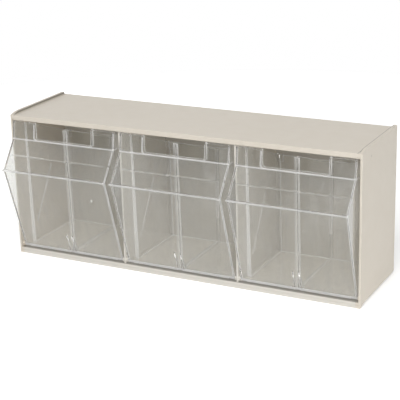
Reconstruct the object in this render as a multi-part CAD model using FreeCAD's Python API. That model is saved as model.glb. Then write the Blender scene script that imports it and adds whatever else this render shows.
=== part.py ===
# Tip-out bin cabinet: three clear bins that tilt out of a shallow beige case.
# Units are millimetres. X runs from left to right, Y from front to back and Z up.
# Every piece is drawn with Y = 0 at the front face of the case, and is then moved so that
# the origin is the middle of the footprint, on the surface that the cabinet stands on.
import FreeCAD, Part
import math
import os

# Case, overall
CASE_WIDTH = 600.0
CASE_DEPTH = 155.0
CASE_HEIGHT = 236.5
BIN_COUNT = 3
WALL = 3.0
TOP_BAND = 8.0
FLOOR_TOP = 9.0
FLOOR_THICKNESS = 3.0
EDGE_ROUND = 1.0
BACK_ROUND = 2.5

# Flanges, stacking rails and grooves of the side panels
TOP_FLANGE_WIDTH = 7.5
TOP_FLANGE_HEIGHT = 5.5
BOTTOM_FLANGE_WIDTH = 7.5
RAIL_WIDTH = 5.5
RAIL_HEIGHT = 3.5
RAIL_RAMP = 15.0
GROOVE_CLEARANCE = 0.4
LEDGE_WIDTH = 4.0
LEDGE_THICKNESS = 2.5
JOINT_CLEARANCE = 0.1

# Partitions and the guides that hold them
PARTITION = 3.0
PARTITION_BEAD = 1.7
GUIDE_WIDTH = 1.5
GUIDE_HEIGHT = 3.0

# Floor panel
BAND_GROOVE_HEIGHT = 4.6
BAND_GROOVE_WIDTH = 0.8
BAND_GROOVE_DEPTH = 0.5
FLOOR_RIB = 2.0
FLOOR_RIB_SPACING = 50.0
PAD_LENGTH = 24.0
PAD_WIDTH = 12.0
PAD_SPREAD = 60.0
PAD_BACK_GAP = 12.0
PAD_CLEARANCE = 0.3

# Wall screw holes in the back panel
SCREW_HOLE_RADIUS = 2.5
SCREW_BOSS_RADIUS = 6.5
SCREW_BOSS_HEIGHT = 1.5
SCREW_SIDE_MARGIN = 50.0
SCREW_BOTTOM_MARGIN = 50.0
SCREW_TOP_MARGIN = 46.5

# Bin, seen from the side
BIN_WALL = 2.5
BIN_UNDERSIDE = 10.0
BIN_TOP_GAP = 1.0
BIN_PROUD = 42.0
FLANGE_HEIGHT = 28.0
FLANGE_TOP_Y = -3.0
BEND_Y = -6.5
SLOPE_HEIGHT = 44.5
RIDGE_Y = -38.5
RIDGE_ROUND = 1.5
FOOT_Y = 6.5
FOOT_ROUND = 3.0
BIN_BACK_GAP = 5.0
LIP_THICKNESS = 3.0
LABEL_LEDGE = 1.5
LABEL_LEDGE_PROUD = 1.6
LABEL_LEDGE_RISE = 22.0
LABEL_LEDGE_END_GAP = 8.5

# Bin, seen from the front and from above
CHEEK_GAP = 3.5
CHEEK_DEPTH = 28.0
CHEEK_EDGE_ROUND = 0.8
JOG_ROUND = 1.4
BODY_GAP_TOP = 6.5
SIDE_DRAFT = 3.5
BACK_DRAFT = 2.0
BODY_CORNER = 6.0
BODY_FLOOR_ROUND = 4.0
NOTCH_WIDTH = 106.0
NOTCH_CORNER = 4.0
COLLAR_WALL = 2.0
COLLAR_BACK = 2.0
BEAD_RISE = 1.2
BEAD_HEIGHT = 4.5
BEAD_PROUD = 0.9
BEAD_END_GAP = 10.5
BEAD_CENTRE_GAP = 9.0
SIDE_RIB_WIDTH = 2.0
SIDE_RIB_PROUD = 0.8
SIDE_RIB_START = (36.0, 46.0)
SIDE_RIB_END = (88.0, 129.5)

# Pivot, stop and tilt
PIVOT_Y = 9.0
TRUNNION_RADIUS = 3.0
TRUNNION_END_GAP = 0.3
PIVOT_CLEARANCE = 0.25
SOCKET_WALL = 1.5
SOCKET_SIDE_GAP = 0.6
SOCKET_FLOOR_GAP = 0.25
TIP_ANGLE = 31.0
STOP_DROP = 15.9
STOP_RADIUS = 3.0
STOP_CLEARANCE = 0.3
STOP_SIDE_GAP = 0.6
SINK_RADIUS = 1.8
SINK_DEPTH = 0.25
EAR_RISE = 2.0
EAR_THICKNESS = 4.0
EAR_HEIGHT = 12.0
EAR_SLOPE = 4.0
EAR_SIDE_GAP = 1.0

# Divider and its guides
DIVIDER = 2.0
DIVIDER_EDGE_WIDTH = 7.5
DIVIDER_CLEARANCE = 0.3
DIVIDER_GUIDE = 2.0
DIVIDER_GUIDE_HEIGHT = 2.5
DIVIDER_GUIDE_FRONT_GAP = 10.0
DIVIDER_BACK_GUIDE_DEPTH = 3.5
DIVIDER_BACK_GUIDE_DROP = 2.0
DIVIDER_FRONT_GUIDE_HEIGHT = 37.5
DIVIDER_FRONT_GUIDE_DEPTH = 6.5
DIVIDER_TOP_DROP = 5.5
DIVIDER_BACK_DROP = 3.0
DIVIDER_CORNER = 3.0
DIVIDER_HEEL = 6.0

# How far a rib, a bead or a pin reaches into the wall that carries it
ROOT = 1.0

# Places worked out from the sizes above
OVERALL_DEPTH = CASE_DEPTH + BIN_PROUD
FRONT = BIN_PROUD - OVERALL_DEPTH / 2
BACK_INNER = CASE_DEPTH - WALL
CEILING = CASE_HEIGHT - WALL
BAND_BOTTOM = CASE_HEIGHT - TOP_BAND
HALF_WIDTH = CASE_WIDTH / 2
HALF_INNER = HALF_WIDTH - WALL
PITCH = (2 * HALF_INNER + PARTITION) / BIN_COUNT
HALF_BAY = (PITCH - PARTITION) / 2
HALF_CHEEK = HALF_BAY - CHEEK_GAP
HALF_BODY_TOP = HALF_BAY - BODY_GAP_TOP
BIN_TOP = BAND_BOTTOM - BIN_TOP_GAP
BEND_Z = BIN_TOP - FLANGE_HEIGHT
RIDGE_Z = BEND_Z - SLOPE_HEIGHT
BODY_BACK = BACK_INNER - BIN_BACK_GAP
BIN_FLOOR = BIN_UNDERSIDE + BIN_WALL
PIVOT_Z = FLOOR_TOP + SOCKET_FLOOR_GAP + SOCKET_WALL + PIVOT_CLEARANCE + TRUNNION_RADIUS
STOP_Z = CEILING - STOP_DROP
BEYOND = 60.0
TINY = 1e-6


def vector(x, y, z):
    return FreeCAD.Vector(x, y, z)


def box(x0, x1, y0, y1, z0, z1):
    return Part.makeBox(x1 - x0, y1 - y0, z1 - z0, vector(x0, y0, z0))


def outline(corners, to_point):
    """Closed wire through (u, v, radius) corners; to_point turns u and v into a point in space."""
    arcs = []
    for index in range(len(corners)):
        u, v, radius = corners[index]
        before = corners[index - 1]
        after = corners[(index + 1) % len(corners)]
        corner = vector(u, v, 0)
        back = (vector(before[0], before[1], 0) - corner).normalize()
        ahead = (vector(after[0], after[1], 0) - corner).normalize()
        half_angle = back.getAngle(ahead) / 2
        reach = radius / math.tan(half_angle)
        bulge = radius / math.sin(half_angle) - radius
        middle = corner
        if radius > 0:
            middle = corner + (back + ahead).normalize() * bulge
        arcs.append((corner + back * reach, middle, corner + ahead * reach, radius))
    edges = []
    for index in range(len(arcs)):
        start, middle, finish, radius = arcs[index]
        previous_finish = arcs[index - 1][2]
        if (start - previous_finish).Length > TINY:
            line = Part.LineSegment(to_point(previous_finish), to_point(start))
            edges.append(line.toShape())
        if radius > 0:
            arc = Part.Arc(to_point(start), to_point(middle), to_point(finish))
            edges.append(arc.toShape())
    return Part.Wire(edges)


def prism_along_x(corners, x0, x1):
    """Solid whose side view is the (y, z, radius) outline, from x0 to x1."""
    wire = outline(corners, lambda p: vector(x0, p.x, p.y))
    return Part.Face(wire).extrude(vector(x1 - x0, 0, 0))


def prism_along_y(corners, y0, y1):
    """Solid whose front view is the (x, z, radius) outline, from y0 to y1."""
    wire = outline(corners, lambda p: vector(p.x, y0, p.y))
    return Part.Face(wire).extrude(vector(0, y1 - y0, 0))


def rod_along_x(radius, x0, x1, y, z):
    return Part.makeCylinder(radius, x1 - x0, vector(x0, y, z), vector(1, 0, 0))


def tapered_box(lower, upper):
    """Solid with flat sloping sides between two level rectangles, each (x0, x1, y0, y1, z)."""
    rings = []
    for x0, x1, y0, y1, z in (lower, upper):
        rings.append([vector(x0, y0, z), vector(x1, y0, z), vector(x1, y1, z), vector(x0, y1, z)])
    loops = [rings[0][::-1], rings[1]]
    for index in range(4):
        after = (index + 1) % 4
        loops.append([rings[0][index], rings[0][after], rings[1][after], rings[1][index]])
    faces = [Part.Face(Part.makePolygon(loop + loop[:1])) for loop in loops]
    return Part.makeSolid(Part.makeShell(faces))


def mirrored(shape):
    return shape.mirror(vector(0, 0, 0), vector(1, 0, 0))


def joined(first, others):
    return first.fuse(others).removeSplitter()


def both_sides(shape):
    return [shape, mirrored(shape)]


# Pivot sockets and stop bosses stand on both faces of a bay's walls.
# They are drawn for a wall face at x = HALF_BAY of a bay whose centre is x = 0.

def pivot_socket():
    """Open-topped ring that carries a trunnion, so a bin can be lifted out."""
    inner_radius = TRUNNION_RADIUS + PIVOT_CLEARANCE
    x0 = HALF_CHEEK + SOCKET_SIDE_GAP
    ring = rod_along_x(inner_radius + SOCKET_WALL, x0, HALF_BAY, PIVOT_Y, PIVOT_Z)
    bore = rod_along_x(inner_radius, x0, HALF_BAY, PIVOT_Y, PIVOT_Z)
    mouth_top = PIVOT_Z + inner_radius + 2 * SOCKET_WALL
    mouth = box(x0, HALF_BAY, PIVOT_Y - inner_radius, PIVOT_Y + inner_radius, PIVOT_Z, mouth_top)
    return ring.cut(bore).cut(mouth)


def stop_seat():
    """Where the stop boss lies against a closed bin's ear, as (y, z) from the pivot."""
    angle = math.radians(TIP_ANGLE)
    y = BODY_BACK - EAR_THICKNESS - STOP_RADIUS - STOP_CLEARANCE - PIVOT_Y
    z = (STOP_Z - PIVOT_Z - y * math.sin(angle)) / math.cos(angle)
    return y, z


def stop_centre():
    """Centre of the stop boss, which the ear meets when the bin is tipped out by TIP_ANGLE."""
    y, z = stop_seat()
    angle = math.radians(TIP_ANGLE)
    return PIVOT_Y + y * math.cos(angle) - z * math.sin(angle), STOP_Z


def back_wall_top():
    """Height of the bin's back wall, so that its ears reach the stops at TIP_ANGLE."""
    return PIVOT_Z + stop_seat()[1] + STOP_RADIUS - EAR_RISE


def stop_boss():
    y, z = stop_centre()
    return rod_along_x(STOP_RADIUS, HALF_CHEEK + STOP_SIDE_GAP, HALF_BAY, y, z)


def bay_fittings():
    """Fittings on the right-hand wall of the bay at x = 0."""
    return [pivot_socket(), stop_boss()]


def rail_side_view(clearance):
    """Side view of a stacking rail, which slopes up from the front; the groove is a wider copy."""
    ramp_slope = RAIL_HEIGHT / (RAIL_RAMP - EDGE_ROUND)
    start = EDGE_ROUND - clearance * 2
    top = RAIL_HEIGHT + clearance
    return start, start + top / ramp_slope, top


def right_side_panel():
    """Side wall with its flanges, its ledges, the stacking rail on top and the groove below."""
    flange_x = HALF_WIDTH - TOP_FLANGE_WIDTH
    foot_x = HALF_WIDTH - BOTTOM_FLANGE_WIDTH
    section = [
        (foot_x, 0, 0),
        (HALF_WIDTH, 0, 0),
        (HALF_WIDTH, CASE_HEIGHT, 0),
        (flange_x, CASE_HEIGHT, 0),
        (flange_x, CASE_HEIGHT - TOP_FLANGE_HEIGHT, 0),
        (HALF_INNER, CASE_HEIGHT - TOP_FLANGE_HEIGHT, 0),
        (HALF_INNER, FLOOR_TOP, 0),
        (foot_x, FLOOR_TOP, 0),
    ]
    panel = prism_along_y(section, 0, CASE_DEPTH)
    panel = panel.makeFillet(EDGE_ROUND, upright_edges(panel, HALF_WIDTH, 0))
    panel = panel.makeFillet(BACK_ROUND, upright_edges(panel, HALF_WIDTH, CASE_DEPTH))

    rail_x = HALF_WIDTH - RAIL_WIDTH
    ramp_start, ramp_end, rise = rail_side_view(0)
    rail = prism_along_x(
        [
            (ramp_start, CASE_HEIGHT - WALL, 0),
            (ramp_start, CASE_HEIGHT, 0),
            (ramp_end, CASE_HEIGHT + rise, 0),
            (CASE_DEPTH - BACK_ROUND, CASE_HEIGHT + rise, 0),
            (CASE_DEPTH - BACK_ROUND, CASE_HEIGHT - WALL, 0),
        ],
        rail_x,
        HALF_WIDTH,
    )
    top_ledge = box(
        flange_x - LEDGE_WIDTH,
        flange_x,
        WALL + JOINT_CLEARANCE,
        BACK_INNER - JOINT_CLEARANCE,
        CEILING - LEDGE_THICKNESS,
        CEILING,
    )
    floor_underside = FLOOR_TOP - FLOOR_THICKNESS
    bottom_ledge = box(
        foot_x - LEDGE_WIDTH,
        foot_x,
        WALL + JOINT_CLEARANCE,
        BACK_INNER - JOINT_CLEARANCE,
        floor_underside - LEDGE_THICKNESS,
        floor_underside,
    )
    ramp_start, ramp_end, rise = rail_side_view(GROOVE_CLEARANCE)
    groove = prism_along_x(
        [
            (ramp_start, -WALL, 0),
            (ramp_start, 0, 0),
            (ramp_end, rise, 0),
            (CASE_DEPTH + WALL, rise, 0),
            (CASE_DEPTH + WALL, -WALL, 0),
        ],
        rail_x - GROOVE_CLEARANCE,
        HALF_WIDTH + WALL,
    )
    bay_centre = (BIN_COUNT - 1) / 2 * PITCH
    fittings = [f.translated(vector(bay_centre, 0, 0)) for f in bay_fittings()]
    panel = joined(panel, [rail, top_ledge, bottom_ledge] + fittings)
    stop_y, stop_z = stop_centre()
    sink = rod_along_x(SINK_RADIUS, HALF_WIDTH - SINK_DEPTH, HALF_WIDTH + WALL, stop_y, stop_z)
    return panel.cut(groove).cut(sink).cut(band_groove(foot_x, HALF_WIDTH))


def upright_edges(shape, x, y):
    """Edges of a shape that stand upright at the given x and y."""
    found = []
    for edge in shape.Edges:
        bounds = edge.BoundBox
        upright = bounds.XLength < TINY and bounds.YLength < TINY
        if upright and abs(bounds.XMin - x) < TINY and abs(bounds.YMin - y) < TINY:
            found.append(edge)
    return found


def band_groove(x0, x1):
    """Fine groove along the front of the base."""
    top = BAND_GROOVE_HEIGHT + BAND_GROOVE_WIDTH
    return box(x0, x1, -WALL, BAND_GROOVE_DEPTH, BAND_GROOVE_HEIGHT, top)


def partition_centres():
    first = -(BIN_COUNT - 2) / 2 * PITCH
    return [first + index * PITCH for index in range(BIN_COUNT - 1)]


def bin_centres():
    first = -(BIN_COUNT - 1) / 2 * PITCH
    return [first + index * PITCH for index in range(BIN_COUNT)]


def partition():
    """Wall between two bays, drawn at x = 0, with a bead in front and fittings on both faces."""
    half = PARTITION / 2
    bead_y = WALL + JOINT_CLEARANCE + PARTITION_BEAD
    wall = box(-half, half, bead_y, BACK_INNER, FLOOR_TOP, CEILING)
    bead = Part.makeCylinder(PARTITION_BEAD, CEILING - FLOOR_TOP, vector(0, bead_y, FLOOR_TOP))
    right_face = [f.translated(vector(-PITCH / 2, 0, 0)) for f in bay_fittings()]
    left_face = [mirrored(f) for f in right_face]
    return joined(wall, [bead] + right_face + left_face)


def partition_guides(y0, y1, z0, z1):
    """Pairs of ribs that hold the edges of the partitions."""
    guides = []
    inner = PARTITION / 2 + JOINT_CLEARANCE
    for centre in partition_centres():
        for x0 in (centre - inner - GUIDE_WIDTH, centre + inner):
            guides.append(box(x0, x0 + GUIDE_WIDTH, y0, y1, z0, z1))
    return guides


def top_panel():
    """Top with the band along its front edge, laid between the flanges of the side panels."""
    half = HALF_WIDTH - TOP_FLANGE_WIDTH
    section = [
        (0, BAND_BOTTOM, EDGE_ROUND),
        (0, CASE_HEIGHT, EDGE_ROUND),
        (CASE_DEPTH, CASE_HEIGHT, EDGE_ROUND),
        (CASE_DEPTH, CEILING, 0),
        (WALL, CEILING, 0),
        (WALL, BAND_BOTTOM, EDGE_ROUND),
    ]
    panel = prism_along_x(section, -half, half)
    tongue = box(
        half - WALL,
        HALF_INNER - JOINT_CLEARANCE,
        EDGE_ROUND,
        WALL,
        BAND_BOTTOM,
        CASE_HEIGHT - TOP_FLANGE_HEIGHT,
    )
    guide_front = WALL + GUIDE_HEIGHT + 2 * PARTITION_BEAD
    guides = partition_guides(
        guide_front, BACK_INNER - GUIDE_HEIGHT, CEILING - GUIDE_HEIGHT, CEILING
    )
    return joined(panel, both_sides(tongue) + guides)


def evenly(start, end, spacing):
    """Places between start and end that are at most spacing apart, without the two ends."""
    count = math.ceil((end - start) / spacing)
    return [start + (end - start) * index / count for index in range(1, count)]


def floor_panel():
    """Raised floor with a skirt, ribs below, guides for the partitions and pads under the bins."""
    half = HALF_WIDTH - BOTTOM_FLANGE_WIDTH
    underside = FLOOR_TOP - FLOOR_THICKNESS
    deck = box(-half, half, 0, CASE_DEPTH, underside, FLOOR_TOP)
    front_skirt = box(-half, half, 0, WALL, 0, underside)
    back_skirt = box(-half, half, BACK_INNER, CASE_DEPTH, 0, underside)
    deck = deck.makeFillet(EDGE_ROUND, level_edges(deck, 0, FLOOR_TOP))

    ribs = []
    rib_end = half - LEDGE_WIDTH - WALL
    for y in evenly(WALL, BACK_INNER, FLOOR_RIB_SPACING):
        ribs.append(box(-rib_end, rib_end, y - FLOOR_RIB / 2, y + FLOOR_RIB / 2, 0, underside))
    for x in evenly(-rib_end, rib_end, FLOOR_RIB_SPACING):
        ribs.append(box(x - FLOOR_RIB / 2, x + FLOOR_RIB / 2, WALL, BACK_INNER, 0, underside))
    for x in (-rib_end + FLOOR_RIB / 2, rib_end - FLOOR_RIB / 2):
        ribs.append(box(x - FLOOR_RIB / 2, x + FLOOR_RIB / 2, WALL, BACK_INNER, 0, underside))

    pads = []
    pad_top = BIN_UNDERSIDE - PAD_CLEARANCE
    pad_back = BODY_BACK - PAD_BACK_GAP
    for centre in bin_centres():
        for x in (centre - PAD_SPREAD, centre + PAD_SPREAD):
            pads.append(
                box(
                    x - PAD_WIDTH / 2,
                    x + PAD_WIDTH / 2,
                    pad_back - PAD_LENGTH,
                    pad_back,
                    FLOOR_TOP,
                    pad_top,
                )
            )
    guides = partition_guides(
        PIVOT_Y + TRUNNION_RADIUS + 3 * SOCKET_WALL,
        BACK_INNER - GUIDE_HEIGHT,
        FLOOR_TOP,
        FLOOR_TOP + GUIDE_HEIGHT,
    )
    panel = joined(deck, [front_skirt, back_skirt] + ribs + pads + guides)
    return panel.cut(band_groove(-half, half))


def level_edges(shape, y, z):
    """Edges of a shape that run along X at the given y and z."""
    found = []
    for edge in shape.Edges:
        bounds = edge.BoundBox
        level = bounds.YLength < TINY and bounds.ZLength < TINY
        if level and abs(bounds.YMin - y) < TINY and abs(bounds.ZMin - z) < TINY:
            found.append(edge)
    return found


def screw_holes():
    """Centres of the wall screw holes, as (x, z)."""
    places = []
    for x in (SCREW_SIDE_MARGIN - HALF_WIDTH, HALF_WIDTH - SCREW_SIDE_MARGIN):
        for z in (SCREW_BOTTOM_MARGIN, CASE_HEIGHT - SCREW_TOP_MARGIN):
            places.append((x, z))
    return places


def back_panel():
    """Back between the side walls, with guides for the partitions and bosses at the screw holes."""
    half = HALF_INNER
    plate = box(-half, half, BACK_INNER, CASE_DEPTH, FLOOR_TOP, CEILING)
    clear = TOP_FLANGE_WIDTH - WALL
    notch_height = TOP_FLANGE_HEIGHT - WALL
    notch = box(
        half - clear,
        half,
        BACK_INNER,
        CASE_DEPTH,
        CEILING - notch_height,
        CEILING,
    )
    for cut in both_sides(notch):
        plate = plate.cut(cut)
    raised = partition_guides(
        BACK_INNER - GUIDE_HEIGHT, BACK_INNER, FLOOR_TOP + GUIDE_HEIGHT, CEILING - GUIDE_HEIGHT
    )
    for x, z in screw_holes():
        start = vector(x, BACK_INNER - SCREW_BOSS_HEIGHT, z)
        raised.append(Part.makeCylinder(SCREW_BOSS_RADIUS, SCREW_BOSS_HEIGHT, start, vector(0, 1, 0)))
    panel = joined(plate, raised)
    for x, z in screw_holes():
        start = vector(x, BACK_INNER - 2 * WALL, z)
        hole = Part.makeCylinder(SCREW_HOLE_RADIUS, 4 * WALL, start, vector(0, 1, 0))
        panel = panel.cut(hole)
    return panel


# The bin is one moulding, drawn for the bay at x = 0.

def bin_side_view():
    """Side view of the bin's front and floor, open upwards and to the back."""
    flange_lean = (FLANGE_TOP_Y - BEND_Y) / FLANGE_HEIGHT
    high = BIN_TOP + BEYOND
    return [
        (FOOT_Y, BIN_UNDERSIDE, FOOT_ROUND),
        (RIDGE_Y, RIDGE_Z, RIDGE_ROUND),
        (BEND_Y, BEND_Z, BIN_WALL),
        (BEND_Y + flange_lean * (high - BEND_Z), high, 0),
        (CASE_DEPTH + BEYOND, high, 0),
        (CASE_DEPTH + BEYOND, BIN_UNDERSIDE, 0),
    ]


def outer_y(z):
    """Y of the outer face of the lower front slope at height z."""
    share = (z - BIN_UNDERSIDE) / (RIDGE_Z - BIN_UNDERSIDE)
    return FOOT_Y + share * (RIDGE_Y - FOOT_Y)


def slope_y(z):
    """Y of the outer face of the upper front slope at height z."""
    share = (z - RIDGE_Z) / SLOPE_HEIGHT
    return RIDGE_Y + share * (BEND_Y - RIDGE_Y)


def back_y(z):
    """Y of the outer face of the drafted back wall at height z."""
    return BODY_BACK - BACK_DRAFT * (BIN_TOP - z) / (BIN_TOP - BIN_UNDERSIDE)


def half_body(z):
    """Half width of the drafted body at height z."""
    return HALF_BODY_TOP - SIDE_DRAFT * (BIN_TOP - z) / (BIN_TOP - BIN_UNDERSIDE)


def drafted_body(inset, z0):
    """Body of the bin behind its cheeks, drawn in by inset on all sides."""
    z1 = BIN_TOP + BEYOND / 2
    levels = []
    for z in (z0, z1):
        half = half_body(z) - inset
        levels.append((-half, half, 0, back_y(z) - inset, z))
    body = tapered_box(levels[0], levels[1])
    uprights = [e for e in body.Edges if e.BoundBox.YMin > TINY and e.BoundBox.ZLength > TINY]
    body = body.makeFillet(BODY_CORNER - inset, uprights)
    bottom = [e for e in body.Edges if e.BoundBox.ZMax < z0 + TINY and e.BoundBox.YMax > TINY]
    return body.makeFillet(BODY_FLOOR_ROUND - inset, bottom)


def cheek_block(inset, z0):
    """Front part of the bin, which is wider than its body."""
    half = HALF_CHEEK - inset
    return box(-half, half, -BIN_PROUD - BEYOND, CHEEK_DEPTH - inset, z0, BIN_TOP + BEYOND / 2)


def soft_jog(block, inset):
    """Round the cheeks' back corners, where the bin steps in to its narrower body."""
    y = CHEEK_DEPTH - inset
    corners = []
    for edge in block.Edges:
        bounds = edge.BoundBox
        at_depth = abs(bounds.YMin - y) < TINY and abs(bounds.YMax - y) < TINY
        at_side = abs(abs(bounds.Center.x) - HALF_CHEEK + inset) < TINY and bounds.XLength < TINY
        if at_depth and at_side:
            corners.append(edge)
    return block.makeFillet(JOG_ROUND, corners)


def bin_block(inset):
    """The bin's outside, or its inside when drawn in by the wall thickness."""
    side = Part.Face(outline(bin_side_view(), lambda p: vector(-HALF_BAY, p.x, p.y)))
    if inset > 0:
        side = side.makeOffset2D(-inset)
    sweep = side.extrude(vector(2 * HALF_BAY, 0, 0))
    z0 = BIN_UNDERSIDE + inset
    block = cheek_block(inset, z0).fuse(drafted_body(inset, z0)).removeSplitter()
    return soft_jog(block, inset).common(sweep)


def round_cheek_edges(block):
    """Round the edges between the cheeks and the bin's front."""
    found = []
    for edge in block.Edges:
        bounds = edge.BoundBox
        on_cheek = abs(abs(bounds.Center.x) - HALF_CHEEK) < TINY and bounds.XLength < TINY
        if on_cheek and bounds.YMax < FOOT_Y + FOOT_ROUND and bounds.ZMin > BIN_UNDERSIDE - TINY:
            found.append(edge)
    return block.makeFillet(CHEEK_EDGE_ROUND, found)


def above_rim():
    """Everything above the bin's rim, which falls from the front flange to the back wall."""
    high = BIN_TOP + BEYOND
    corners = [
        (-BIN_PROUD - BEYOND, BIN_TOP, 0),
        (COLLAR_BACK, BIN_TOP, 0),
        (BODY_BACK, back_wall_top(), 0),
        (CASE_DEPTH + BEYOND, back_wall_top(), 0),
        (CASE_DEPTH + BEYOND, high, 0),
        (-BIN_PROUD - BEYOND, high, 0),
    ]
    return prism_along_x(corners, -HALF_BAY, HALF_BAY)


def notch_block(grow, y1):
    """Finger notch in the front flange, grown by the collar's wall when asked."""
    half = NOTCH_WIDTH / 2 + grow
    bottom = BEND_Z + COLLAR_WALL / 2 - grow
    radius = NOTCH_CORNER + grow
    corners = [
        (-half, bottom, radius),
        (half, bottom, radius),
        (half, BIN_TOP + BEYOND / 2, 0),
        (-half, BIN_TOP + BEYOND / 2, 0),
    ]
    return prism_along_y(corners, -BIN_PROUD, y1)


def ridge_lip():
    """Finger lip along the ridge, as wide as the cheeks."""
    half = LIP_THICKNESS / 2
    root = RIDGE_Y + BIN_WALL / 2
    corners = [
        (root, RIDGE_Z - half, 0),
        (root, RIDGE_Z + half, 0),
        (-BIN_PROUD, RIDGE_Z + half, half * 0.9),
        (-BIN_PROUD, RIDGE_Z - half, half * 0.9),
    ]
    return prism_along_x(corners, -HALF_CHEEK, HALF_CHEEK)


def label_ledge():
    """Narrow ledge across the upper slope, which holds the foot of a label."""
    z = RIDGE_Z + LABEL_LEDGE_RISE
    front = slope_y(z) - LABEL_LEDGE_PROUD
    root = slope_y(z) + BIN_WALL / 2
    half = LABEL_LEDGE / 2
    end = HALF_CHEEK - LABEL_LEDGE_END_GAP
    return box(-end, end, front, root, z - half, z + half)


def bottom_beads():
    """Thick bead along the foot of the front, open at the middle and short of the pivots."""
    z0 = BIN_UNDERSIDE + BEAD_RISE
    z1 = z0 + BEAD_HEIGHT
    corners = [
        (outer_y(z0) + ROOT, z0, 0),
        (outer_y(z0) - BEAD_PROUD, z0, 0),
        (outer_y(z1) - BEAD_PROUD, z1, 0),
        (outer_y(z1) + ROOT, z1, 0),
    ]
    right = prism_along_x(corners, BEAD_CENTRE_GAP / 2, HALF_CHEEK - BEAD_END_GAP)
    return both_sides(right)


def trunnions():
    """Pivot pins on the cheeks."""
    pin = rod_along_x(
        TRUNNION_RADIUS, HALF_CHEEK - ROOT, HALF_BAY - TRUNNION_END_GAP, PIVOT_Y, PIVOT_Z
    )
    return both_sides(pin)


def ears():
    """Ears at the top back corners, which meet the stops."""
    wall_x = half_body(back_wall_top()) - BIN_WALL
    inner = wall_x - BODY_CORNER
    outer = HALF_BAY - EAR_SIDE_GAP
    top = back_wall_top() + EAR_RISE
    bottom = top - EAR_HEIGHT
    corners = [
        (inner, bottom, 0),
        (wall_x, bottom, 0),
        (outer, bottom + EAR_SLOPE, EDGE_ROUND),
        (outer, top, EDGE_ROUND),
        (inner, top, EDGE_ROUND),
    ]
    return both_sides(prism_along_y(corners, BODY_BACK - EAR_THICKNESS, BODY_BACK))


def side_ribs():
    """Slanting stiffening rib on the outside of each side wall."""
    low_y, low_z = SIDE_RIB_START
    high_y, high_z = SIDE_RIB_END
    corners = [
        (low_y, low_z, 0),
        (low_y + SIDE_RIB_WIDTH, low_z, 0),
        (high_y + SIDE_RIB_WIDTH, high_z, 0),
        (high_y, high_z, 0),
    ]
    strip = prism_along_x(corners, HALF_BODY_TOP - SIDE_DRAFT - BIN_WALL, HALF_BAY)
    strip = strip.common(drafted_body(-SIDE_RIB_PROUD, BIN_UNDERSIDE))
    strip = strip.cut(drafted_body(ROOT, BIN_UNDERSIDE + ROOT))
    return both_sides(strip)


def divider_guides():
    """Ribs on the floor, the back wall and the foot of the front that hold the divider."""
    inner = DIVIDER / 2 + DIVIDER_CLEARANCE
    outer = inner + DIVIDER_GUIDE
    root_z = BIN_FLOOR - ROOT
    back_foot = back_y(BIN_FLOOR) - BIN_WALL
    floor_guide = box(
        inner,
        outer,
        FOOT_Y + DIVIDER_GUIDE_FRONT_GAP,
        back_foot,
        root_z,
        BIN_FLOOR + DIVIDER_GUIDE_HEIGHT,
    )
    head_z = back_wall_top() - DIVIDER_BACK_GUIDE_DROP
    back_head = back_y(head_z) - BIN_WALL
    back_guide = prism_along_x(
        [
            (back_foot - DIVIDER_BACK_GUIDE_DEPTH, root_z, 0),
            (back_foot + ROOT, root_z, 0),
            (back_head + ROOT, head_z, 0),
            (back_head - DIVIDER_BACK_GUIDE_DEPTH, head_z, 0),
        ],
        inner,
        outer,
    )
    front_inner = DIVIDER_EDGE_WIDTH / 2 + DIVIDER_CLEARANCE
    front_head_z = BIN_FLOOR + DIVIDER_FRONT_GUIDE_HEIGHT
    front_foot_y = outer_y(root_z)
    front_back_y = front_foot_y + BIN_WALL + DIVIDER_FRONT_GUIDE_DEPTH
    front_guide = prism_along_x(
        [
            (front_foot_y + ROOT, root_z, 0),
            (front_back_y, root_z, 0),
            (front_back_y, root_z + DIVIDER_FRONT_GUIDE_DEPTH, 0),
            (outer_y(front_head_z) + ROOT, front_head_z, 0),
        ],
        front_inner,
        front_inner + DIVIDER_GUIDE,
    )
    return both_sides(floor_guide) + both_sides(back_guide) + both_sides(front_guide)


def tip_out_bin():
    shell = round_cheek_edges(bin_block(0)).cut(bin_block(BIN_WALL))
    shell = shell.cut(notch_block(0, COLLAR_BACK))
    collar = notch_block(COLLAR_WALL, COLLAR_BACK).cut(notch_block(0, COLLAR_BACK))
    collar = collar.common(bin_block(0))
    shell = shell.fuse(collar).cut(above_rim())
    features = [ridge_lip(), label_ledge()] + bottom_beads() + trunnions() + ears()
    features += side_ribs() + divider_guides()
    return joined(shell, features)


def divider_back(z):
    """Y of the divider's back edge at height z, just inside the bin's back wall."""
    return back_y(z) - BIN_WALL - DIVIDER_CLEARANCE


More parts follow.
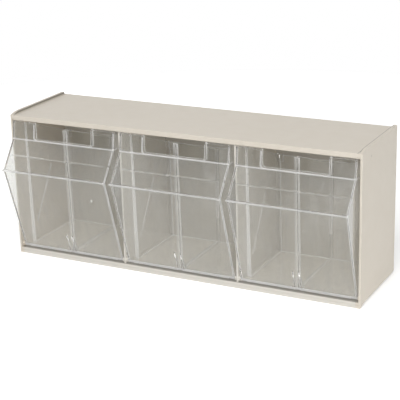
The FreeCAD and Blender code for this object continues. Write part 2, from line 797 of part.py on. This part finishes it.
def divider():
    """Removable divider: a thin web with a wide strip along its front edge."""
    foot_z = BIN_FLOOR + DIVIDER_CLEARANCE
    head_z = BIN_TOP - DIVIDER_TOP_DROP
    front_foot = outer_y(foot_z) + BIN_WALL + 2 * DIVIDER_CLEARANCE
    front_head = COLLAR_BACK + 2 * DIVIDER_CLEARANCE
    back_head_z = back_wall_top() - DIVIDER_BACK_DROP
    heel_z = foot_z + DIVIDER_HEEL
    web = prism_along_x(
        [
            (front_foot, foot_z, 0),
            (front_head, head_z, DIVIDER_CORNER),
            (divider_back(back_head_z), back_head_z, DIVIDER_CORNER),
            (divider_back(heel_z), heel_z, 0),
            (divider_back(foot_z) - DIVIDER_HEEL, foot_z, 0),
        ],
        -DIVIDER / 2,
        DIVIDER / 2,
    )
    strip_head_z = head_z - DIVIDER_CORNER
    share = (strip_head_z - foot_z) / (head_z - foot_z)
    strip_head = front_foot + share * (front_head - front_foot)
    strip = prism_along_x(
        [
            (front_foot, foot_z, 0),
            (strip_head, strip_head_z, 0),
            (strip_head + DIVIDER, strip_head_z, 0),
            (front_foot + DIVIDER, foot_z, 0),
        ],
        -DIVIDER_EDGE_WIDTH / 2,
        DIVIDER_EDGE_WIDTH / 2,
    )
    return joined(web, [strip])


def write(shape, name, x=0.0):
    """Move a piece to its place and write it as one STEP file."""
    placed = shape.translated(vector(x, FRONT, 0))
    placed.exportStep("parts/" + name + ".step")
    bounds = placed.BoundBox
    print(
        f"{name}: solids {len(placed.Solids)}, valid {placed.isValid()}, "
        f"volume {placed.Volume / 1000:.1f} cm3, "
        f"z {bounds.ZMin:.2f} to {bounds.ZMax:.2f}, y {bounds.YMin:.2f} to {bounds.YMax:.2f}"
    )


def main():
    os.makedirs("parts", exist_ok=True)
    right_side = right_side_panel()
    write(right_side, "right_side_panel")
    write(mirrored(right_side), "left_side_panel")
    write(top_panel(), "top_panel")
    write(floor_panel(), "floor_panel")
    write(back_panel(), "back_panel")
    names = ["left", "middle", "right"]
    wall = partition()
    for name, x in zip(["left", "right"], partition_centres()):
        write(wall, name + "_partition", x)
    one_bin = tip_out_bin()
    one_divider = divider()
    for name, x in zip(names, bin_centres()):
        write(one_bin, name + "_bin", x)
        write(one_divider, name + "_bin_divider", x)


main()
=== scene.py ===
# Tip-out bin cabinet: looks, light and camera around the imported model.
# Units are metres. X runs from left to right, Y from front to back and Z up.
import math

import bmesh
import bpy
from mathutils import Matrix, Vector


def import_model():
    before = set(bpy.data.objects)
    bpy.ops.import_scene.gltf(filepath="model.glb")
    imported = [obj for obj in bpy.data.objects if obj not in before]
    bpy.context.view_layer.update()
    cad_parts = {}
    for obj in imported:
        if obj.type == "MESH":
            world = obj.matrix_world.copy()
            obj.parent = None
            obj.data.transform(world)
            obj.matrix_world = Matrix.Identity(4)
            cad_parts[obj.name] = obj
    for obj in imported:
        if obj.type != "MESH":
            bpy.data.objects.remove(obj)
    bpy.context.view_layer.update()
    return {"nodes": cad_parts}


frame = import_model()

OUTER_NODES = ["left_side_panel", "right_side_panel", "top_panel"]
INNER_NODES = ["floor_panel", "left_partition", "right_partition"]
BIN_NODES = ["left_bin", "middle_bin", "right_bin"]
DIVIDER_NODES = ["left_bin_divider", "middle_bin_divider", "right_bin_divider"]

# Colours, as they look on the object
OUTER_COLOUR = (218, 210, 197)
INNER_COLOUR = (220, 216, 208)
# Painted shade: the back panel is the case plastic painted darker, for the dimmer light inside the
# case
BACK_SHADED_COLOUR = (201, 197, 189)
CLEAR_TINT = (250, 250, 248)
# Painted highlight: the white put into the clear plastic at its edges
EDGE_HIGHLIGHT_WHITE = (250, 250, 250)

# Reach of the painted highlight lines along the edges of the clear mouldings, less than their
# thinnest wall
EDGE_REACH = 0.0012

# Heights on a bin: underside, foot bead, middle of the front guides, ridge, ledge, bend and rim
BIN_FOOT = 0.010
BEAD_HEIGHT = 0.0135
GUIDE_MIDDLE = 0.035
RIDGE_HEIGHT = 0.155
LEDGE_HEIGHT = 0.177
BEND_HEIGHT = 0.1995
RIM_HEIGHT = 0.2275

# A bin's narrower body at its foot: half width, back, and what each gains with height
BODY_HALF = 0.088
BODY_BACK = 0.0885
SIDE_DRAFT = 0.0161
BACK_DRAFT = 0.0092

# Depth of the step from a bin's cheeks to its body, of the end of its front and of its ridge
STEP_DEPTH = -0.0295
FRONT_END = -0.048
RIDGE_END = -0.0925

# Share of white in the painted highlight lines along a bin's form, and their reach into a rounded
# corner
STEP_SHARE = 0.45
CORNER_SHARE = 0.5
CORNER_REACH = 0.0042
BEND_SHARE = 0.45
BEAD_SHARE = 0.7
RIDGE_SHARE = 0.5

# Slanting rib on a bin's sides: depth at height 0, slope, middle and reach of its height, and the
# share of white in its painted highlight line
RIB_FOOT = -0.04815
RIB_SLOPE = 0.6228
RIB_MIDDLE = 0.0877
RIB_REACH = 0.0418
RIB_SHARE = 0.5

# Most white in the fine scuffs on a bin's sides, which rub along the partitions
SCUFF_SHARE = 0.11

# Height of a divider's lower edge, and how much fainter the painted edge highlight is at the dull
# edges
DIVIDER_FOOT = 0.0128
DULL_SHARE = 0.8

# Places on the case: seam between top and side panel, rail's inner edge, top, middle of the painted
# shade spot for a sink mark (Y, Z)
SEAM_PLACE = 0.2925
RAIL_INSIDE = 0.2948
CASE_TOP = 0.2368
SINK_PLACE = (-0.0188, 0.2233)

# Painted shade on the floor in the gap between the front band and a bin's foot: middle of its depth,
# how far up it is painted dark, and its share
GAP_MIDDLE = -0.0495
GAP_TOP = 0.0095
GAP_SHADE = 0.5

# Share of the colour that is taken out: a darker line in a seam, painted shade along a rail's inner
# edge with the same share, painted shade in a sink spot and on a rail's inner face
SEAM_SHADE = 0.45
SINK_SHADE = 0.22
RAIL_SHADE = 0.5

# Distance between the middles of two bays
PITCH = 0.199

# Waves per metre of the pale vertical streaks in the clear plastic, a faint painted reflection
REFLECTION_STREAKS = (90.0, 90.0, 9.0)

FLOOR_RADIUS = 1.4

# White that the floor adds for what is seen, near the cabinet and far from it
NEAR_GLOW = 0.38
FAR_GLOW = 0.62

# Brightness of the room in front of the cabinet at eye level, where white is 1
ROOM_FRONT = 0.25

# Turns that light takes in the clear plastic before it is let out straight
MOST_TURNS = 4.5

# Camera: place in metres, turn about Z, tilt and roll in radians, focal length in pixels
CAMERA_PLACE = (0.85854, -1.63100, 0.73597)
CAMERA_TURN = 0.4789
CAMERA_TILT = 0.3265
CAMERA_ROLL = -0.0289
FOCAL_PIXELS = 1232.0
IMAGE_PIXELS = 400.0
SENSOR_WIDTH = 36.0


def linear(colour):
    """A colour given as 0 to 255 display values, as the linear values that a shader takes."""
    values = []
    for value in colour:
        share = value / 255.0
        if share <= 0.04045:
            values.append(share / 12.92)
        else:
            values.append(((share + 0.055) / 1.055) ** 2.4)
    return values + [1.0]


def new_material(name):
    material = bpy.data.materials.new(name)
    material.use_nodes = True
    material.node_tree.nodes.clear()
    return material, material.node_tree.nodes, material.node_tree.links


def noise(nodes, links, place, scale, detail, roughness=0.5):
    """Noise texture over the object's own coordinates; gives its Fac output."""
    texture = nodes.new("ShaderNodeTexNoise")
    texture.inputs["Scale"].default_value = scale
    texture.inputs["Detail"].default_value = detail
    texture.inputs["Roughness"].default_value = roughness
    links.new(place, texture.inputs["Vector"])
    return texture.outputs["Fac"]


def spread(nodes, links, value, low, high, start=0.3, end=0.7):
    """Stretch the start to end part of a value to low to high."""
    node = nodes.new("ShaderNodeMapRange")
    node.inputs["From Min"].default_value = start
    node.inputs["From Max"].default_value = end
    node.inputs["To Min"].default_value = low
    node.inputs["To Max"].default_value = high
    links.new(value, node.inputs["Value"])
    return node.outputs["Result"]


def maths(nodes, links, operation, *values):
    """Result of one Math node; each value is an output socket or a number."""
    node = nodes.new("ShaderNodeMath")
    node.operation = operation
    for socket, value in zip(node.inputs, values):
        if isinstance(value, (int, float)):
            socket.default_value = value
        else:
            links.new(value, socket)
    return node.outputs[0]


def near(nodes, links, value, middle, reach, blur):
    """1 where a value is within reach of its middle, falling to 0 over the blur."""
    apart = maths(nodes, links, "SUBTRACT", value, middle)
    size = maths(nodes, links, "ABSOLUTE", apart)
    return spread(nodes, links, size, 1.0, 0.0, reach, reach + blur)


def split_up(nodes, links, vector):
    split = nodes.new("ShaderNodeSeparateXYZ")
    links.new(vector, split.inputs[0])
    return split.outputs


def strongest(nodes, links, values):
    result = values[0]
    for value in values[1:]:
        result = maths(nodes, links, "MAXIMUM", result, value)
    return result


def all_of(nodes, links, values):
    result = values[0]
    for value in values[1:]:
        result = maths(nodes, links, "MULTIPLY", result, value)
    return result


def case_shade(nodes, links, coordinates):
    """Share of the case colour kept: a darker line along the seam between top and side panel, and
    painted shade along the rails' inner edges and faces, in a round spot for the sink marks, set
    higher than the middle of the part's own sink mark, and on the floor in the gap under the bins'
    feet.
    """
    place = split_up(nodes, links, coordinates.outputs["Object"])
    facing = split_up(nodes, links, coordinates.outputs["Normal"])
    across = maths(nodes, links, "ABSOLUTE", place["X"])
    # A darker line along the seam between top and side panel
    seam = all_of(
        nodes,
        links,
        [
            near(nodes, links, across, SEAM_PLACE, 0.0004, 0.0005),
            spread(nodes, links, facing["Z"], 0.0, SEAM_SHADE, 0.5, 0.9),
        ],
    )
    # Painted shade: a round dark spot for a sink mark
    along = maths(nodes, links, "SUBTRACT", place["Y"], SINK_PLACE[0])
    height = maths(nodes, links, "SUBTRACT", place["Z"], SINK_PLACE[1])
    squares = [maths(nodes, links, "MULTIPLY", part, part) for part in (along, height)]
    apart = maths(nodes, links, "SQRT", maths(nodes, links, "ADD", *squares))
    sink = spread(nodes, links, apart, SINK_SHADE, 0.0, 0.001, 0.0025)
    # Painted shade along the inner top edge of each rail
    crest = all_of(
        nodes,
        links,
        [
            near(nodes, links, across, RAIL_INSIDE, 0.0005, 0.0005),
            spread(nodes, links, place["Z"], 0.0, SEAM_SHADE, CASE_TOP, CASE_TOP + 0.001),
        ],
    )
    # Painted shade on the inner faces of the rails, above the top
    outward = maths(nodes, links, "MULTIPLY", facing["X"], maths(nodes, links, "SIGN", place["X"]))
    rail = all_of(
        nodes,
        links,
        [
            spread(nodes, links, outward, RAIL_SHADE, 0.0, -0.9, -0.4),
            spread(nodes, links, place["Z"], 0.0, 1.0, CASE_TOP, CASE_TOP + 0.0005),
        ],
    )
    # Painted shade on the floor in the gap under a bin's foot
    gap = all_of(
        nodes,
        links,
        [
            near(nodes, links, place["Y"], GAP_MIDDLE, 0.004, 0.002),
            spread(nodes, links, facing["Z"], 0.0, GAP_SHADE, 0.9, 0.98),
            spread(nodes, links, place["Z"], 1.0, 0.0, GAP_TOP, GAP_TOP + 0.0005),
        ],
    )
    lost = strongest(nodes, links, [seam, sink, crest, rail, gap])
    return maths(nodes, links, "SUBTRACT", 1.0, lost)


def case_plastic(name, colour, seam_line_and_painted_shade=False):
    """Satin beige moulded plastic with a fine grain, and where asked a darker seam line and painted
    shade.
    """
    material, nodes, links = new_material(name)
    coordinates = nodes.new("ShaderNodeTexCoord")
    place = coordinates.outputs["Object"]
    shader = nodes.new("ShaderNodeBsdfPrincipled")
    shader.inputs["IOR"].default_value = 1.5
    cloud = noise(nodes, links, place, 14.0, 3.0)
    tint = nodes.new("ShaderNodeMixRGB")
    tint.blend_type = "MIX"
    base = linear(colour)
    tint.inputs[1].default_value = [base[0] * 0.975, base[1] * 0.972, base[2] * 0.965, 1.0]
    tint.inputs[2].default_value = base
    links.new(spread(nodes, links, cloud, 0.0, 1.0), tint.inputs[0])
    hue = tint.outputs[0]
    # Darker seam line and painted shade at the rails, the sink spot and under the bins' feet
    if seam_line_and_painted_shade:
        shaded = nodes.new("ShaderNodeVectorMath")
        shaded.operation = "SCALE"
        links.new(hue, shaded.inputs[0])
        links.new(case_shade(nodes, links, coordinates), shaded.inputs["Scale"])
        hue = shaded.outputs[0]
    links.new(hue, shader.inputs["Base Color"])
    grain = noise(nodes, links, place, 60.0, 4.0)
    links.new(spread(nodes, links, grain, 0.42, 0.52), shader.inputs["Roughness"])
    bump = nodes.new("ShaderNodeBump")
    bump.inputs["Strength"].default_value = 0.25
    bump.inputs["Distance"].default_value = 0.00008
    links.new(noise(nodes, links, place, 1800.0, 3.0, 0.6), bump.inputs["Height"])
    links.new(bump.outputs["Normal"], shader.inputs["Normal"])
    output = nodes.new("ShaderNodeOutputMaterial")
    links.new(shader.outputs[0], output.inputs["Surface"])
    return material


def edge_highlights(nodes, links, share):
    """Share of painted highlight white at edges, lips and other features that are thinner than a
    wall.
    """
    inward = nodes.new("ShaderNodeAmbientOcclusion")
    inward.samples = 6
    inward.inside = True
    inward.only_local = True
    inward.inputs["Distance"].default_value = EDGE_REACH
    return spread(nodes, links, inward.outputs["AO"], 0.0, share, 0.97, 0.75)


def corner_line(nodes, links, first, second):
    """Painted highlight line along a rounded corner, from the distances to the two faces that meet
    there.
    """
    gap = maths(nodes, links, "SUBTRACT", first, second)
    return all_of(
        nodes,
        links,
        [
            near(nodes, links, gap, 0.0, 0.0007, 0.0009),
            spread(nodes, links, first, CORNER_SHARE, 0.0, CORNER_REACH, CORNER_REACH + 0.0004),
            spread(nodes, links, second, 1.0, 0.0, CORNER_REACH, CORNER_REACH + 0.0004),
        ],
    )


def bin_highlight_lines(nodes, links, coordinates, place):
    """Painted highlight lines that follow the moulding's own form: step, rounded corners, bend, bead,
    ridge and rib.
    """
    facing = split_up(nodes, links, coordinates.outputs["Normal"])
    across = maths(nodes, links, "ABSOLUTE", bay_place(nodes, links, place["X"]))
    flat = spread(nodes, links, maths(nodes, links, "ABSOLUTE", facing["Y"]), 0.0, 1.0, 0.5, 0.9)
    step = [
        near(nodes, links, place["Y"], STEP_DEPTH, 0.002, 0.0006),
        spread(nodes, links, across, 0.0, STEP_SHARE, BODY_HALF - 0.002, BODY_HALF - 0.001),
        flat,
    ]
    rise = maths(nodes, links, "SUBTRACT", place["Z"], BIN_FOOT)
    half = maths(nodes, links, "MULTIPLY_ADD", rise, SIDE_DRAFT, BODY_HALF)
    back = maths(nodes, links, "MULTIPLY_ADD", rise, BACK_DRAFT, BODY_BACK)
    from_side = maths(nodes, links, "SUBTRACT", half, across)
    from_back = maths(nodes, links, "SUBTRACT", back, place["Y"])
    front = spread(nodes, links, place["Y"], 1.0, 0.0, FRONT_END - 0.001, FRONT_END)
    bend = [front, near(nodes, links, place["Z"], BEND_HEIGHT, 0.0007, 0.0005), BEND_SHARE]
    bead = [front, near(nodes, links, place["Z"], BEAD_HEIGHT, 0.002, 0.0005), BEAD_SHARE]
    foremost = spread(nodes, links, place["Y"], 1.0, 0.0, RIDGE_END - 0.001, RIDGE_END)
    lean = maths(nodes, links, "MULTIPLY_ADD", place["Z"], RIB_SLOPE, RIB_FOOT)
    rib = [
        near(nodes, links, maths(nodes, links, "SUBTRACT", place["Y"], lean), 0.0, 0.0009, 0.0005),
        near(nodes, links, place["Z"], RIB_MIDDLE, RIB_REACH, 0.001),
        spread(nodes, links, across, 0.0, RIB_SHARE, BODY_HALF - 0.002, BODY_HALF - 0.001),
    ]
    ridge = [foremost, near(nodes, links, place["Z"], RIDGE_HEIGHT, 0.001, 0.0005), RIDGE_SHARE]
    return strongest(
        nodes,
        links,
        [
            all_of(nodes, links, step),
            all_of(nodes, links, ridge),
            all_of(nodes, links, rib),
            corner_line(nodes, links, from_side, from_back),
            corner_line(nodes, links, from_side, rise),
            corner_line(nodes, links, from_back, rise),
            all_of(nodes, links, bend),
            all_of(nodes, links, bead),
        ],
    )


def bin_dull(nodes, links, place):
    """1 at thin features of a bin where the painted edge highlight is kept faint: ledge, rim and the
    divider's guides.
    """
    across = maths(nodes, links, "ABSOLUTE", bay_place(nodes, links, place["X"]))
    ledge = near(nodes, links, place["Z"], LEDGE_HEIGHT, 0.001, 0.0004)
    rim = spread(nodes, links, place["Z"], 0.0, 1.0, RIM_HEIGHT - 0.003, RIM_HEIGHT - 0.002)
    guides = [
        spread(nodes, links, across, 1.0, 0.0, 0.0085, 0.009),
        near(nodes, links, place["Z"], GUIDE_MIDDLE, 0.0195, 0.001),
    ]
    return strongest(nodes, links, [ledge, rim, all_of(nodes, links, guides)])


def divider_dull(nodes, links, place):
    """1 along a divider's lower edge, where the painted edge highlight is kept faint."""
    return spread(nodes, links, place["Z"], 1.0, 0.0, DIVIDER_FOOT + 0.002, DIVIDER_FOOT + 0.003)


def painted_highlight_and_scuff_share(nodes, links, coordinates, streak_veil, edge, is_bin):
    """Share of white: painted highlight, most at edges and thin features, a trace of painted
    reflection in streaks on broad walls, and fine scuffs on a bin's sides.
    """
    place = split_up(nodes, links, coordinates.outputs["Object"])
    dull = (bin_dull if is_bin else divider_dull)(nodes, links, place)
    kept = maths(nodes, links, "MULTIPLY_ADD", dull, -DULL_SHARE, 1.0)
    lines = [all_of(nodes, links, [edge_highlights(nodes, links, edge), kept])]
    if is_bin:
        lines.append(bin_highlight_lines(nodes, links, coordinates, place))
        facing = split_up(nodes, links, coordinates.outputs["Normal"])
        sideways = maths(nodes, links, "ABSOLUTE", facing["X"])
        scuffs = noise(nodes, links, coordinates.outputs["Object"], 25.0, 3.0)
        lines.append(
            all_of(
                nodes,
                links,
                [
                    spread(nodes, links, sideways, 0.0, 1.0, 0.5, 0.9),
                    spread(nodes, links, scuffs, SCUFF_SHARE / 2, SCUFF_SHARE),
                ],
            )
        )

    # Painted reflection: a faint veil of pale vertical streaks on the broad walls
    stretched = nodes.new("ShaderNodeMapping")
    stretched.inputs["Scale"].default_value = REFLECTION_STREAKS
    links.new(coordinates.outputs["Object"], stretched.inputs["Vector"])
    streaks = noise(nodes, links, stretched.outputs[0], 1.0, 3.0, 0.6)
    lines.append(spread(nodes, links, streaks, 0.0, streak_veil, 0.4, 0.75))
    return strongest(nodes, links, lines)


def bay_place(nodes, links, x):
    """Distance along X from the middle of the bay, for a place in any of the bays."""
    return maths(nodes, links, "WRAP", x, PITCH / 2, -PITCH / 2)


def painted_highlight_white(nodes, links):
    """Painted highlight: lit white put where the clear plastic's edges look bright; most light comes
    back from it, some goes through.
    """
    back = nodes.new("ShaderNodeBsdfDiffuse")
    onward = nodes.new("ShaderNodeBsdfTranslucent")
    mix = nodes.new("ShaderNodeMixShader")
    mix.inputs[0].default_value = 0.3
    for index, shader in enumerate((back, onward)):
        shader.inputs["Color"].default_value = linear(EDGE_HIGHLIGHT_WHITE)
        links.new(shader.outputs[0], mix.inputs[index + 1])
    return mix.outputs[0]


def clear_plastic(name, waviness, streak_veil, edge, is_bin):
    """Clear moulded polystyrene with painted highlight white at its edges and a faint painted
    reflection in streaks; lamps reach through it to what is behind.
    """
    material, nodes, links = new_material(name)
    coordinates = nodes.new("ShaderNodeTexCoord")
    place = coordinates.outputs["Object"]
    shader = nodes.new("ShaderNodeBsdfPrincipled")
    shader.inputs["Base Color"].default_value = linear(CLEAR_TINT)
    shader.inputs["Transmission Weight"].default_value = 1.0
    shader.inputs["IOR"].default_value = 1.59
    ripple = noise(nodes, links, place, 45.0, 3.0)
    links.new(spread(nodes, links, ripple, 0.004, 0.02), shader.inputs["Roughness"])
    bump = nodes.new("ShaderNodeBump")
    bump.inputs["Strength"].default_value = waviness
    bump.inputs["Distance"].default_value = 0.0004
    links.new(noise(nodes, links, place, 22.0, 1.5), bump.inputs["Height"])
    links.new(bump.outputs["Normal"], shader.inputs["Normal"])
    through = nodes.new("ShaderNodeBsdfTransparent")
    through.inputs["Color"].default_value = (0.96, 0.96, 0.957, 1.0)
    path = nodes.new("ShaderNodeLightPath")
    trapped = maths(nodes, links, "GREATER_THAN", path.outputs["Ray Depth"], MOST_TURNS)
    straight = maths(nodes, links, "MAXIMUM", trapped, path.outputs["Is Shadow Ray"])
    mix = nodes.new("ShaderNodeMixShader")
    links.new(straight, mix.inputs[0])
    links.new(shader.outputs[0], mix.inputs[1])
    links.new(through.outputs[0], mix.inputs[2])
    # Painted highlight and painted reflection: white mixed over the clear plastic by this share
    veil = nodes.new("ShaderNodeMixShader")
    share = painted_highlight_and_scuff_share(nodes, links, coordinates, streak_veil, edge, is_bin)
    links.new(share, veil.inputs[0])
    links.new(mix.outputs[0], veil.inputs[1])
    links.new(painted_highlight_white(nodes, links), veil.inputs[2])
    output = nodes.new("ShaderNodeOutputMaterial")
    links.new(veil.outputs[0], output.inputs["Surface"])
    return material


def let_light_in(names):
    """Lamps and light from the walls reach through clear pieces as if they weren't there."""
    for name in names:
        frame["nodes"][name].visible_diffuse = False


def give(names, material):
    for name in names:
        slots = frame["nodes"][name].material_slots
        for slot in slots:
            slot.material = material


def seen_rays(nodes, links):
    """1 for rays from the camera, and for those that gloss and clear plastic send on."""
    path = nodes.new("ShaderNodeLightPath")
    total = path.outputs["Is Camera Ray"]
    for name in ("Is Glossy Ray", "Is Transmission Ray"):
        total = maths(nodes, links, "ADD", total, path.outputs[name])
    return maths(nodes, links, "MINIMUM", total, 1.0)


def floor():
    """Plain pale floor that keeps the object's shadow and looks white around it."""
    mesh = bpy.data.meshes.new("floor")
    shape = bmesh.new()
    bmesh.ops.create_circle(shape, cap_ends=True, segments=96, radius=FLOOR_RADIUS)
    shape.to_mesh(mesh)
    shape.free()
    plane = bpy.data.objects.new("floor", mesh)
    bpy.context.scene.collection.objects.link(plane)
    material, nodes, links = new_material("floor_white")
    place = nodes.new("ShaderNodeTexCoord").outputs["Object"]
    diffuse = nodes.new("ShaderNodeBsdfDiffuse")
    tint = nodes.new("ShaderNodeMixRGB")
    tint.inputs[1].default_value = (0.88, 0.88, 0.875, 1.0)
    tint.inputs[2].default_value = (0.91, 0.91, 0.905, 1.0)
    links.new(spread(nodes, links, noise(nodes, links, place, 3.0, 2.0), 0.0, 1.0), tint.inputs[0])
    links.new(tint.outputs[0], diffuse.inputs["Color"])
    glow = nodes.new("ShaderNodeEmission")
    glow.inputs["Color"].default_value = (1.0, 1.0, 1.0, 1.0)
    distance = nodes.new("ShaderNodeVectorMath")
    distance.operation = "LENGTH"
    links.new(place, distance.inputs[0])
    rising = spread(nodes, links, distance.outputs["Value"], NEAR_GLOW, FAR_GLOW, 0.5, FLOOR_RADIUS)
    strength = maths(nodes, links, "MULTIPLY", seen_rays(nodes, links), rising)
    links.new(strength, glow.inputs["Strength"])
    both = nodes.new("ShaderNodeAddShader")
    links.new(diffuse.outputs[0], both.inputs[0])
    links.new(glow.outputs[0], both.inputs[1])
    output = nodes.new("ShaderNodeOutputMaterial")
    links.new(both.outputs[0], output.inputs["Surface"])
    plane.data.materials.append(material)


def studio_glow(nodes, links):
    """The studio as gloss and clear plastic show it: white behind and overhead, dim in front."""
    way = split_up(nodes, links, nodes.new("ShaderNodeTexCoord").outputs["Generated"])
    behind = spread(nodes, links, way["Y"], ROOM_FRONT, 1.0, -0.35, -0.05)
    overhead = spread(nodes, links, way["Z"], ROOM_FRONT, 0.9, 0.2, 0.5)
    path = nodes.new("ShaderNodeLightPath")
    mix = nodes.new("ShaderNodeMixRGB")
    links.new(path.outputs["Is Camera Ray"], mix.inputs[0])
    links.new(maths(nodes, links, "MAXIMUM", behind, overhead), mix.inputs[1])
    mix.inputs[2].default_value = (1.0, 1.0, 1.0, 1.0)
    return mix.outputs[0]


def world(level):
    """Soft even light from all round, seen as plain white."""
    scene_world = bpy.data.worlds.new("studio")
    scene_world.use_nodes = True
    nodes = scene_world.node_tree.nodes
    links = scene_world.node_tree.links
    nodes.clear()
    light = nodes.new("ShaderNodeBackground")
    light.inputs["Color"].default_value = (1.0, 1.0, 1.0, 1.0)
    light.inputs["Strength"].default_value = level
    white = nodes.new("ShaderNodeBackground")
    links.new(studio_glow(nodes, links), white.inputs["Color"])
    white.inputs["Strength"].default_value = 1.0
    mix = nodes.new("ShaderNodeMixShader")
    links.new(seen_rays(nodes, links), mix.inputs[0])
    links.new(light.outputs[0], mix.inputs[1])
    links.new(white.outputs[0], mix.inputs[2])
    output = nodes.new("ShaderNodeOutputWorld")
    links.new(mix.outputs[0], output.inputs["Surface"])
    bpy.context.scene.world = scene_world


def soft_lamp(name, place, target, size, power, mirrored=True):
    lamp = bpy.data.lights.new(name, "AREA")
    lamp.shape = "RECTANGLE"
    lamp.size = size[0]
    lamp.size_y = size[1]
    lamp.energy = power
    holder = bpy.data.objects.new(name, lamp)
    holder.location = place
    holder.visible_glossy = mirrored
    holder.visible_transmission = mirrored
    aim = Vector(target) - Vector(place)
    holder.rotation_euler = aim.to_track_quat("-Z", "Y").to_euler()
    bpy.context.scene.collection.objects.link(holder)


def camera():
    ahead = Vector(
        (
            -math.sin(CAMERA_TURN) * math.cos(CAMERA_TILT),
            math.cos(CAMERA_TURN) * math.cos(CAMERA_TILT),
            -math.sin(CAMERA_TILT),
        )
    )
    level_right = Vector((math.cos(CAMERA_TURN), math.sin(CAMERA_TURN), 0.0))
    level_up = level_right.cross(ahead)
    right = level_right * math.cos(CAMERA_ROLL) + level_up * math.sin(CAMERA_ROLL)
    up = level_up * math.cos(CAMERA_ROLL) - level_right * math.sin(CAMERA_ROLL)
    data = bpy.data.cameras.new("camera")
    data.sensor_fit = "HORIZONTAL"
    data.sensor_width = SENSOR_WIDTH
    data.lens = FOCAL_PIXELS / IMAGE_PIXELS * SENSOR_WIDTH
    holder = bpy.data.objects.new("camera", data)
    turn = Matrix((right, up, -ahead)).transposed().to_4x4()
    holder.matrix_world = Matrix.Translation(CAMERA_PLACE) @ turn
    bpy.context.scene.collection.objects.link(holder)
    bpy.context.scene.camera = holder


# Outer and inner case plastic get the darker seam line and painted shade
give(OUTER_NODES, case_plastic("case_plastic_outer", OUTER_COLOUR, True))
give(INNER_NODES, case_plastic("case_plastic_inner", INNER_COLOUR, True))
# The back panel gets the case plastic painted darker, as painted shade
give(["back_panel"], case_plastic("case_plastic_back_painted_shade", BACK_SHADED_COLOUR))
# Clear bins and dividers get painted highlight lines and a faint painted reflection in streaks
give(BIN_NODES, clear_plastic("bin_clear", 0.15, 0.06, 0.85, True))
give(DIVIDER_NODES, clear_plastic("divider_clear", 0.1, 0.05, 0.6, False))
let_light_in(BIN_NODES + DIVIDER_NODES)
floor()
world(0.29)
soft_lamp("key", (0.5, -2.0, 2.3), (0.0, 0.0, 0.1), (2.2, 1.6), 65.0, False)
soft_lamp("low", (1.5, -0.55, 0.13), (0.0, 0.0, 0.13), (1.6, 0.26), 5.6)
soft_lamp("back", (-1.3, 1.8, 0.45), (0.0, 0.0, 0.12), (1.6, 1.0), 16.0, False)
camera()

scene = bpy.context.scene
scene.view_settings.view_transform = "Standard"
